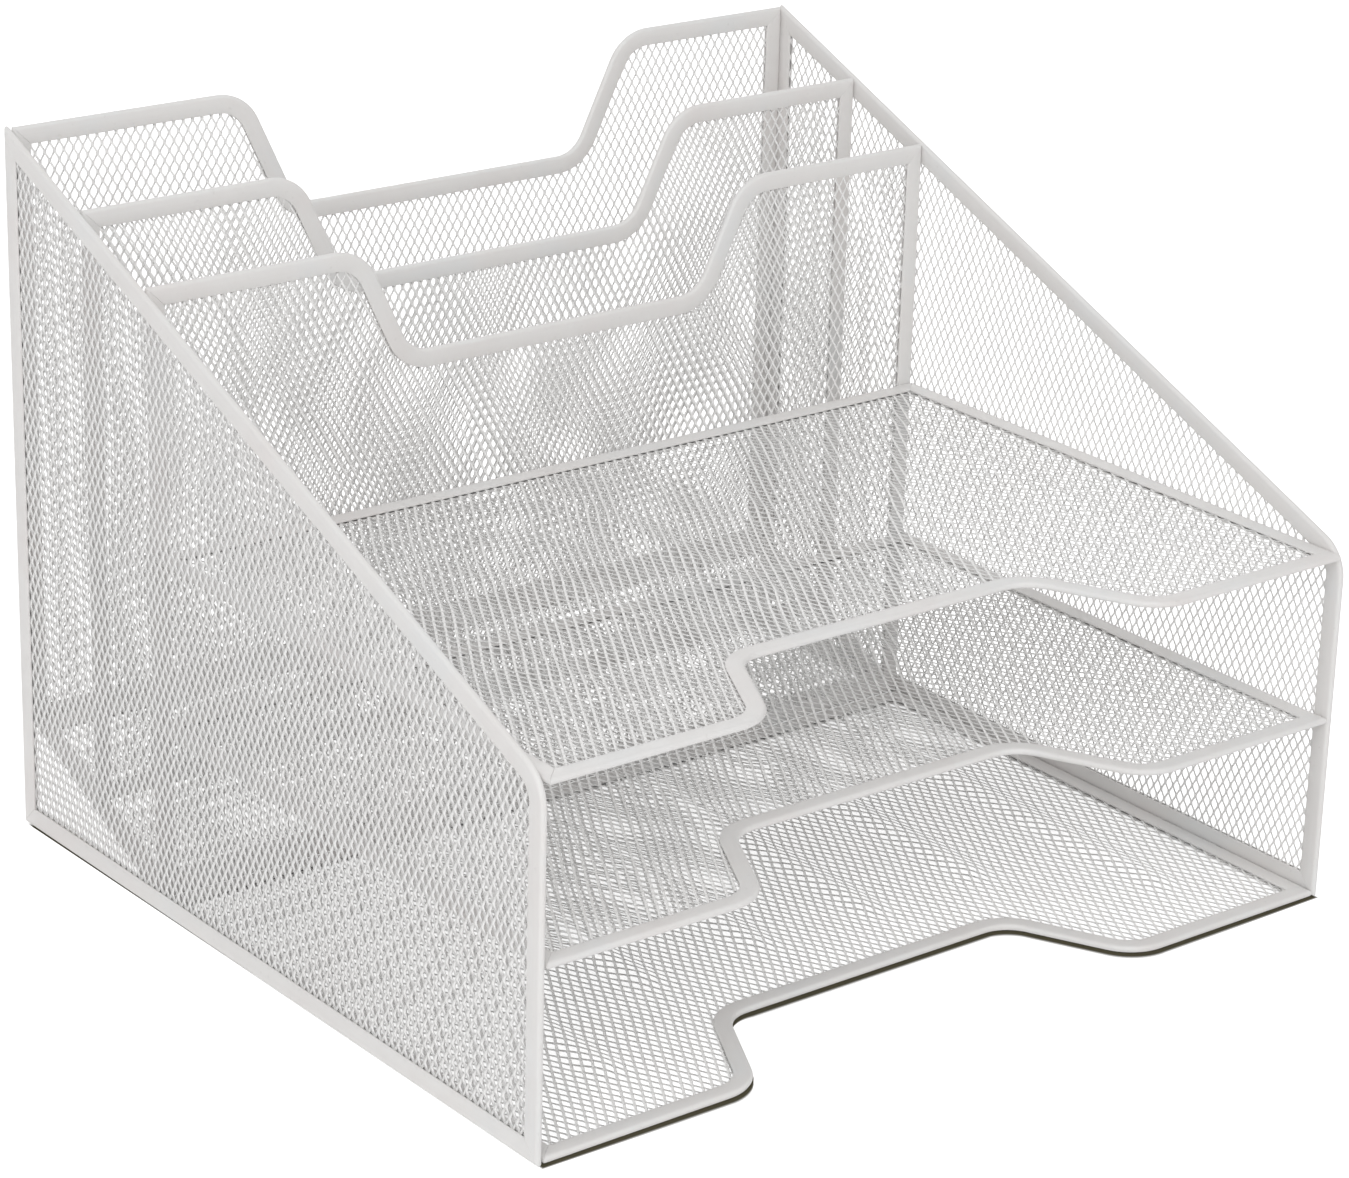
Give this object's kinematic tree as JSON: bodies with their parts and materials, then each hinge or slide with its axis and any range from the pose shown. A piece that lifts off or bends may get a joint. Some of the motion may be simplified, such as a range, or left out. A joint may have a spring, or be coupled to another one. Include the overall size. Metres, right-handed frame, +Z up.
{
  "type": "mesh desk organizer",
  "caption": "Steel mesh desk organizer with letter trays in front, each with a grab recess, and upright file slots behind, all in folded edge strips.",
  "frame": {"origin": "on the desk, under the middle of the outer size", "axes": "+X to the organizer's right as seen from the front, +Y from the tray fronts to the file slots at the rear, +Z up"},
  "size_m": [0.33, 0.302, 0.2489],
  "materials": {
    "strip_coat": "satin silver-white powder coat",
    "mesh_coat": "satin silver-white powder coat"
  },
  "bodies": {
    "root": {"left_side_bottom_strip": "strip_coat", "left_side_rear_strip": "strip_coat", "left_side_front_strip": "strip_coat", "left_side_mesh": "mesh_coat", "right_side_bottom_strip": "strip_coat", "right_side_rear_strip": "strip_coat", "right_side_front_strip": "strip_coat", "right_side_mesh": "mesh_coat", "back_panel_bottom_strip": "strip_coat", "back_panel_right_strip": "strip_coat", "back_panel_top_rail": "strip_coat", "back_panel_left_strip": "strip_coat", "back_panel_mesh": "mesh_coat", "middle_divider_bottom_strip": "strip_coat", "middle_divider_right_strip": "strip_coat", "middle_divider_top_rail": "strip_coat", "middle_divider_left_strip": "strip_coat", "middle_divider_mesh": "mesh_coat", "front_divider_bottom_strip": "strip_coat", "front_divider_right_strip": "strip_coat", "front_divider_top_rail": "strip_coat", "front_divider_left_strip": "strip_coat", "front_divider_mesh": "mesh_coat", "file_floor_front_strip": "strip_coat", "file_floor_right_strip": "strip_coat", "file_floor_rear_strip": "strip_coat", "file_floor_left_strip": "strip_coat", "file_floor_mesh": "mesh_coat", "bottom_tray_front_rail": "strip_coat", "bottom_tray_right_strip": "strip_coat", "bottom_tray_rear_strip": "strip_coat", "bottom_tray_left_strip": "strip_coat", "bottom_tray_mesh": "mesh_coat", "middle_tray_front_rail": "strip_coat", "middle_tray_right_strip": "strip_coat", "middle_tray_rear_strip": "strip_coat", "middle_tray_left_strip": "strip_coat", "middle_tray_mesh": "mesh_coat", "top_tray_front_rail": "strip_coat", "top_tray_right_strip": "strip_coat", "top_tray_rear_strip": "strip_coat", "top_tray_left_strip": "strip_coat", "top_tray_mesh": "mesh_coat"}
  },
  "joints": []
}
